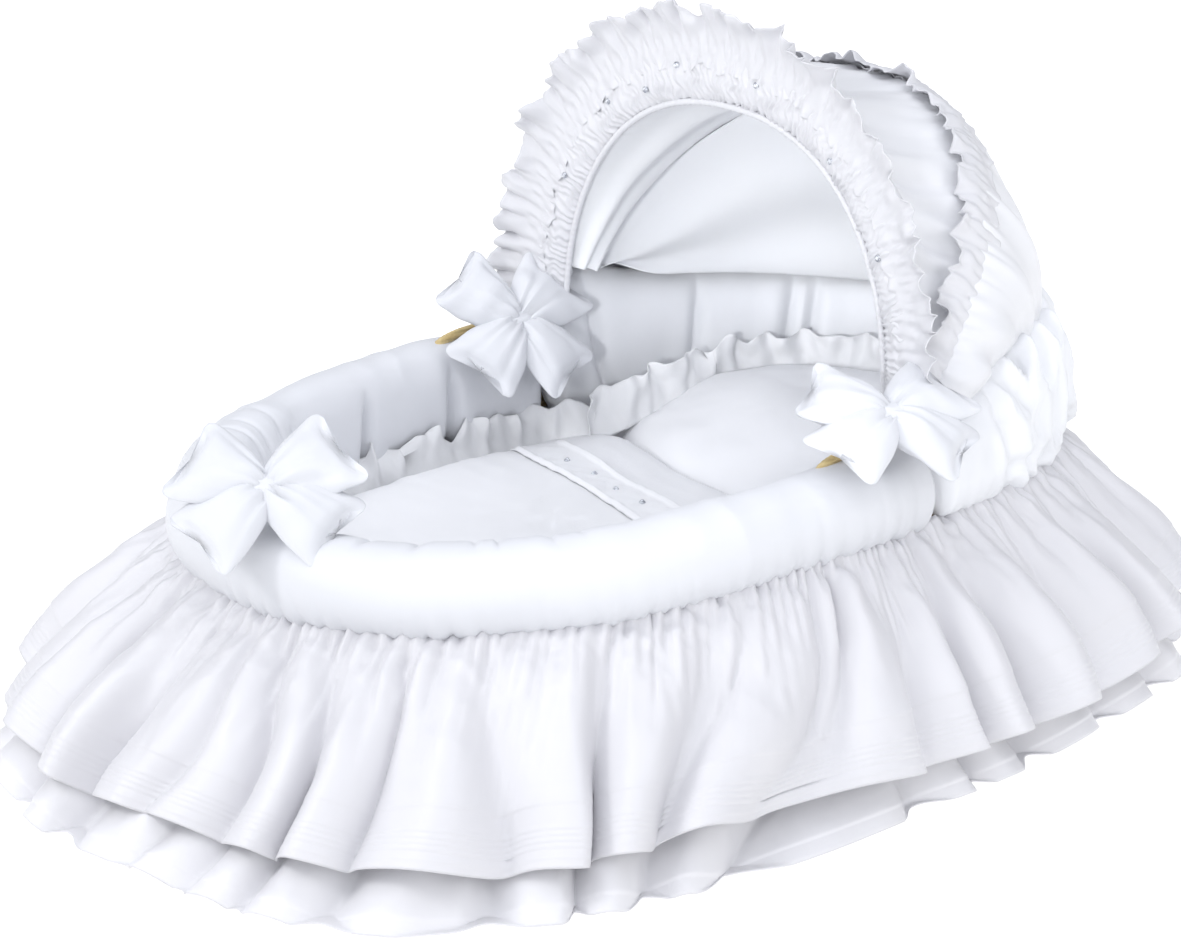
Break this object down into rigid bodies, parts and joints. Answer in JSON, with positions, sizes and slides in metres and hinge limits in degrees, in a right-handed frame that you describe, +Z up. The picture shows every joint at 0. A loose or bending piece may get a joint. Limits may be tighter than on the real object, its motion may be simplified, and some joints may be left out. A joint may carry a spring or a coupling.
{
  "type": "baby cradle",
  "caption": "Dressed wicker baby basket with padded rim, gathered two-tier skirt, bedding, bows and a folding two-hoop hood.",
  "frame": {"origin": "middle of the skirt's footprint, on the surface the basket stands on", "axes": "+X to the head, +Y to the baby's left side, +Z up"},
  "size_m": [1.124, 0.8, 0.599],
  "materials": {
    "wicker": "natural cane, satin varnish",
    "hinge_steel": "nickel plated",
    "padded_satin": "matte duchess satin over wadding",
    "skirt_satin": "glossy satin",
    "hood_satin": "glossy satin, shirred",
    "lining_satin": "soft satin lining",
    "organza": "crisp sheer organza",
    "mattress_cover": "brushed cotton"
  },
  "bodies": {
    "basket": {"basket_base": "wicker", "basket_wall": "wicker", "rim_border": "wicker", "carry_grip_left": "wicker", "carry_grip_right": "wicker", "hinge_bracket_left": "hinge_steel", "hinge_bracket_right": "hinge_steel", "hinge_pin_left": "hinge_steel", "hinge_pin_right": "hinge_steel", "bumper_roll": "padded_satin", "head_bolster": "padded_satin", "coverlet": "padded_satin", "pillow": "padded_satin", "foot_bow_loops": "padded_satin", "foot_bow_tails": "padded_satin", "foot_bow_knot": "padded_satin", "left_bow_loops": "padded_satin", "left_bow_tails": "padded_satin", "left_bow_knot": "padded_satin", "right_bow_loops": "padded_satin", "right_bow_tails": "padded_satin", "right_bow_knot": "padded_satin", "skirt_upper_tier": "skirt_satin", "skirt_lower_tier": "skirt_satin", "seam_tape": "skirt_satin", "coverlet_band": "skirt_satin", "inner_lining": "lining_satin", "coverlet_ruffle": "organza", "pillow_ruffle": "organza", "mattress": "mattress_cover"},
    "rear_hood": {"rear_hoop": "wicker", "rear_ruffle": "hood_satin", "hood_canopy": "hood_satin", "hood_lining": "lining_satin", "hood_back": "hood_satin"},
    "front_hood": {"front_hoop": "wicker", "front_band": "hood_satin", "front_piping": "hood_satin", "front_ruffle": "hood_satin"}
  },
  "joints": [
    {"name": "rear_hoop_fold", "type": "hinge", "parent": "basket", "child": "rear_hood", "pos_m": [0.13, 0, 0.275], "axis": [0, 1, 0], "range_deg": [0, 27], "deforming": ["hood_back"]},
    {"name": "front_hoop_fold", "type": "hinge", "parent": "rear_hood", "child": "front_hood", "pos_m": [0.13, 0, 0.275], "axis": [0, 1, 0], "range_deg": [0, 21], "deforming": ["hood_canopy", "hood_lining"]}
  ],
  "couplings": [
    {"joint": "front_hoop_fold", "follows": "rear_hoop_fold", "ratio": 0.75}
  ]
}
